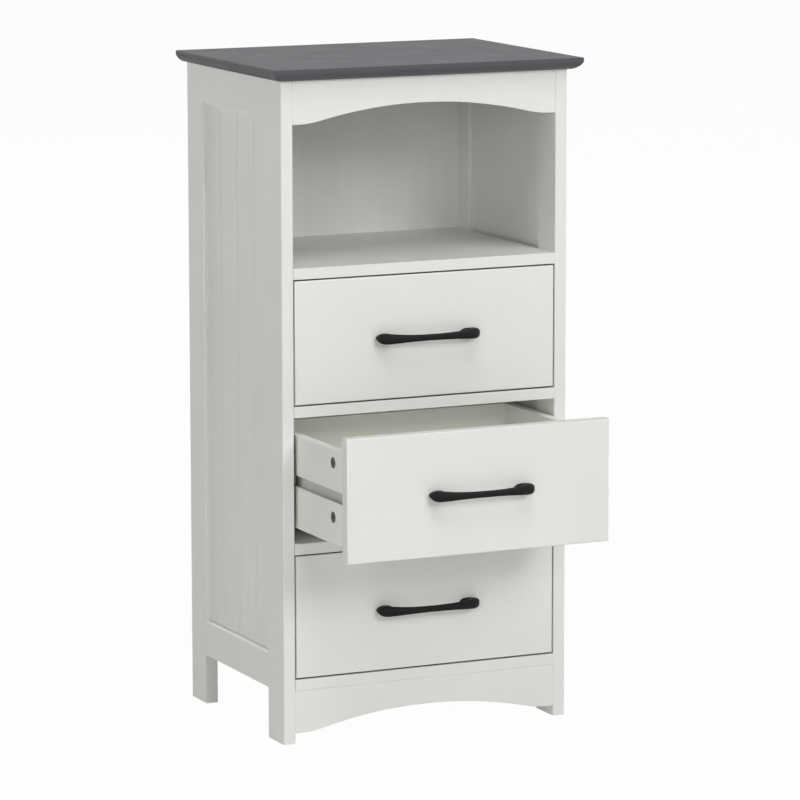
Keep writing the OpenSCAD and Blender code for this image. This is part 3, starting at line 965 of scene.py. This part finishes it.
@dataclass
class Carcass(Assembly):
    """The fixed body: side frames, boards, aprons, top board, back, runners and their fixings.

    Attributes:
        body: The body.
        rail_ease: Width of the eased edges of the side frames' rails.
        ledge_ease: Width of the bottom rails' upper edges, which catch the light.
        runner_ease: Width of the runners' eased edges.
    """

    body: Body = Body.CARCASS
    rail_ease: float = 1.5 * MM
    ledge_ease: float = 4.5 * MM
    runner_ease: float = 0.6 * MM

    def parts(self) -> list[EasedBoard | BowHandle]:
        """List the carcass's boards.

        Returns:
            The boards, each with the faces whose edges are eased.
        """
        boards = [EasedBoard("top_board", self.body, Slot.GREY_TOP, Coat.GREY)]
        for side in ("left", "right"):
            boards += self.side_frame(side)
        for apron in ("top_apron", "bottom_apron"):
            boards.append(EasedBoard(apron, self.body, face=Axis.Y))
        for board in ("shelf", "upper_divider", "lower_divider", "bottom_board"):
            boards.append(EasedBoard(board, self.body, face=Axis.Z, end=Axis.X))
        return boards

    def side_frame(self, side: str) -> list[EasedBoard]:
        """List the boards of a side: its stiles, rails, beaded board and runners.

        Args:
            side: The side's name, left or right.

        Returns:
            The boards of that side.
        """
        lengthwise = {"face": Axis.X, "end": Axis.Y}
        boards = [
            EasedBoard(f"{side}_front_stile", self.body),
            EasedBoard(f"{side}_rear_stile", self.body),
            # The bead flanks carry a painted highlight, a whiter coat.
            EasedBoard(f"{side}_grooved_board", self.body, bead_highlight_coat=Coat.BEAD_HIGHLIGHT),
            EasedBoard(f"{side}_top_rail", self.body, ease=self.rail_ease, groove_lips=True,
                       **lengthwise),
            EasedBoard(f"{side}_bottom_rail", self.body, ease=self.rail_ease,
                       top_ease=self.ledge_ease, **lengthwise),
        ]
        for drawer in ("top", "middle", "bottom"):
            boards.append(EasedBoard(f"{drawer}_drawer_{side}_runner", self.body,
                                     ease=self.runner_ease, **lengthwise))
        return boards

    def fittings(self) -> list[Fitting]:
        """List the back panel, the dowels and the fixings.

        Returns:
            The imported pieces, each with the slot of its finish.
        """
        return [
            Fitting("back_panel", Slot.WHITE_HARDBOARD),
            Fitting("frame_dowels", Slot.BEECH),
            Fitting("carcass_dowels", Slot.BEECH),
            Fitting("carcass_cam_locks", Slot.ZINC),
            Fitting("carcass_cam_bolts", Slot.STEEL),
            Fitting("runner_screws", Slot.STEEL),
        ]


@dataclass
class Drawer(Assembly):
    """A drawer: a front, two sides, a back and a bottom, with its handle and fixings."""

    def parts(self) -> list[EasedBoard | BowHandle]:
        """List the drawer's boards and its handle.

        Returns:
            The boards, each with the faces whose edges are eased, and the handle.
        """
        name = self.body.value
        sides = [
            # The walls of the runner grooves carry a painted shade, a grey coat.
            EasedBoard(f"{name}_{side}_side", self.body, coat=Coat.DRAWER_BOX,
                       groove_shade_coat=Coat.GROOVE_SHADE, face=Axis.X, end=Axis.Y)
            for side in ("left", "right")
        ]
        return [
            EasedBoard(f"{name}_front", self.body, coat=Coat.DRAWER_FRONT),
            *sides,
            EasedBoard(f"{name}_back", self.body, coat=Coat.DRAWER_BOX, face=Axis.Y, end=Axis.X),
            BowHandle(self.body),
        ]

    def fittings(self) -> list[Fitting]:
        """List the drawer's bottom and its fixings.

        Returns:
            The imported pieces, each with the slot of its finish.
        """
        name = self.body.value
        return [
            Fitting(f"{name}_bottom", Slot.WHITE_HARDBOARD),
            Fitting(f"{name}_handle_screws", Slot.STEEL),
            Fitting(f"{name}_cam_locks", Slot.ZINC),
            Fitting(f"{name}_cam_bolts", Slot.STEEL),
            Fitting(f"{name}_corner_screws", Slot.STEEL),
        ]


@dataclass(frozen=True)
class Softbox:
    """A soft square lamp that points at the cabinet's middle.

    Attributes:
        name: Name of the lamp.
        azimuth: Where it hangs, in degrees: 0 straight in front, positive to the right.
        elevation: How high it hangs, in degrees above the target.
        size: Side of the square.
        power: Power, in watts.
        distance: Distance from the target.
        target: The cabinet's middle.
    """

    name: str
    azimuth: float
    elevation: float
    size: float
    power: float
    distance: float = 7.0
    target: Point = (0.0, 0.0, 0.45)

    def hang(self) -> None:
        """Hang the lamp at its place and aim it."""
        turn, rise = math.radians(self.azimuth), math.radians(self.elevation)
        level = math.cos(rise)
        away = Vector((level * math.sin(turn), -level * math.cos(turn), math.sin(rise)))
        data = bpy.data.lights.new(self.name, "AREA")
        data.shape = "SQUARE"
        data.size = self.size
        data.energy = self.power
        lamp = bpy.data.objects.new(self.name, data)
        aim = away.to_track_quat("Z", "Y").to_matrix().to_4x4()
        lamp.matrix_world = Matrix.Translation(Vector(self.target) + self.distance * away) @ aim
        bpy.context.scene.collection.objects.link(lamp)


# The lamps: name, azimuth, elevation, size and power.
SOFTBOXES = (
    Softbox("key_softbox", 30.0, 40.0, 2.4, 42.0),
    Softbox("right_front_softbox", 15.0, 25.0, 2.0, 112.0),
    Softbox("front_softbox", 0.0, 15.0, 2.8, 40.0),
    Softbox("high_softbox", -15.0, 63.0, 3.2, 138.0),
    Softbox("left_front_softbox", -40.0, 12.0, 2.4, 66.0),
    Softbox("left_softbox", -85.0, 8.0, 2.4, 53.0),
    Softbox("right_softbox", 100.0, 15.0, 2.6, 80.0),
    Softbox("rear_softbox", 185.0, 10.0, 2.6, 135.0),
)


@dataclass
class Studio:
    """The plain studio: a pale floor, a white surround, soft lamps and the camera.

    Attributes:
        eye: Where the camera stands.
        yaw: Its turn to the right from straight ahead.
        pitch: Its tilt downwards.
        roll: Its turn about its own axis.
        focal_px: Its focal length, in pixels of the photograph's frame.
        frame_px: Width of that frame.
        sensor: Width of its sensor, in millimetres.
        view_end: How far it sees.
        floor_size: Side of the square floor.
        floor_colour: Linear colour of the floor, as the light finds it.
        floor_glow: Share of the floor that is seen as white, past its shadows.
        surround: Strength of the surround as a light.
    """

    eye: Point = (-2.55442, -5.58747, 1.44158)
    yaw: float = math.radians(24.8755)
    pitch: float = math.radians(9.3745)
    roll: float = math.radians(-0.0726)
    focal_px: float = 4553.62
    frame_px: float = 800.0
    sensor: float = 36.0
    view_end: float = 100.0
    floor_size: float = 80.0
    floor_colour: Colour = (0.86, 0.86, 0.86)
    floor_glow: float = 0.975
    surround: float = 0.03

    def build(self) -> None:
        """Make the camera, the floor, the surround and the lamps."""
        self.camera()
        self.floor()
        self.world()
        for softbox in SOFTBOXES:
            softbox.hang()
        log.info("studio built with %d lamps", len(SOFTBOXES))

    def camera(self) -> None:
        """Place the camera where the photograph was taken from."""
        forward = Vector((math.sin(self.yaw), math.cos(self.yaw), 0.0))
        right = Vector((math.cos(self.yaw), -math.sin(self.yaw), 0.0))
        up = Vector(Axis.Z.value)
        forward, up = (math.cos(self.pitch) * forward - math.sin(self.pitch) * up,
                       math.cos(self.pitch) * up + math.sin(self.pitch) * forward)
        right, up = (math.cos(self.roll) * right + math.sin(self.roll) * up,
                     math.cos(self.roll) * up - math.sin(self.roll) * right)
        data = bpy.data.cameras.new("camera")
        data.sensor_width = self.sensor
        data.lens = self.focal_px / self.frame_px * self.sensor
        data.clip_end = self.view_end
        camera = bpy.data.objects.new("camera", data)
        turned = Matrix((right, up, -forward)).transposed().to_4x4()
        camera.matrix_world = Matrix.Translation(self.eye) @ turned
        bpy.context.scene.collection.objects.link(camera)
        bpy.context.scene.camera = camera

    def seen_straight(self, tree: bpy.types.NodeTree) -> bpy.types.NodeSocket:
        """Tell rays that see the studio, straight or in gloss or glass, from those that light.

        Args:
            tree: Node tree of the material or the world.

        Returns:
            The socket that is 1 for the rays that see, and 0 for the others.
        """
        path = tree.nodes.new("ShaderNodeLightPath")
        total = path.outputs["Is Camera Ray"]
        for name in ("Is Glossy Ray", "Is Transmission Ray"):
            most = tree.nodes.new("ShaderNodeMath")
            most.operation = "MAXIMUM"
            tree.links.new(total, most.inputs[0])
            tree.links.new(path.outputs[name], most.inputs[1])
            total = most.outputs[0]
        return total

    def floor_material(self) -> bpy.types.Material:
        """Make the floor's material, which lights as a pale floor and shows as a whiter one.

        Returns:
            The finished material.
        """
        material = bpy.data.materials.new("pale_floor")
        material.use_nodes = True
        tree = material.node_tree
        tree.nodes.clear()
        matt = tree.nodes.new("ShaderNodeBsdfDiffuse")
        matt.inputs["Color"].default_value = (*self.floor_colour, 1.0)
        glow = tree.nodes.new("ShaderNodeEmission")
        glow.inputs["Strength"].default_value = 1.0
        share = tree.nodes.new("ShaderNodeMath")
        share.operation = "MULTIPLY"
        share.inputs[1].default_value = self.floor_glow
        tree.links.new(self.seen_straight(tree), share.inputs[0])
        mix = tree.nodes.new("ShaderNodeMixShader")
        tree.links.new(share.outputs[0], mix.inputs["Fac"])
        tree.links.new(matt.outputs[0], mix.inputs[1])
        tree.links.new(glow.outputs[0], mix.inputs[2])
        output = tree.nodes.new("ShaderNodeOutputMaterial")
        tree.links.new(mix.outputs[0], output.inputs["Surface"])
        return material

    def floor(self) -> None:
        """Lay a plain pale floor, which keeps a faint shadow of the cabinet."""
        mesh = bmesh.new()
        bmesh.ops.create_grid(mesh, x_segments=1, y_segments=1, size=self.floor_size / 2)
        floor = add_object("floor", mesh)
        floor.data.materials.append(self.floor_material())

    def world(self) -> None:
        """Surround the scene with an even light that the camera and gloss see as white."""
        world = bpy.data.worlds.new("surround")
        world.use_nodes = True
        tree = world.node_tree
        background = tree.nodes["Background"]
        background.inputs["Color"].default_value = (1.0, 1.0, 1.0, 1.0)
        strength = tree.nodes.new("ShaderNodeMapRange")
        strength.inputs["To Min"].default_value = self.surround
        strength.inputs["To Max"].default_value = 1.0
        tree.links.new(self.seen_straight(tree), strength.inputs["Value"])
        tree.links.new(strength.outputs["Result"], background.inputs["Strength"])
        bpy.context.scene.world = world


def main() -> None:
    """Build the cabinet's looks and the studio round it."""
    logging.basicConfig(level=logging.INFO, format="%(name)s: %(message)s")
    bpy.context.scene.view_settings.view_transform = "Standard"
    finishes = Finishes()
    Carcass().make(finishes)
    for body in (Body.TOP_DRAWER, Body.MIDDLE_DRAWER, Body.BOTTOM_DRAWER):
        Drawer(body).make(finishes)
    Studio().build()


if __name__ == "__main__":
    main()
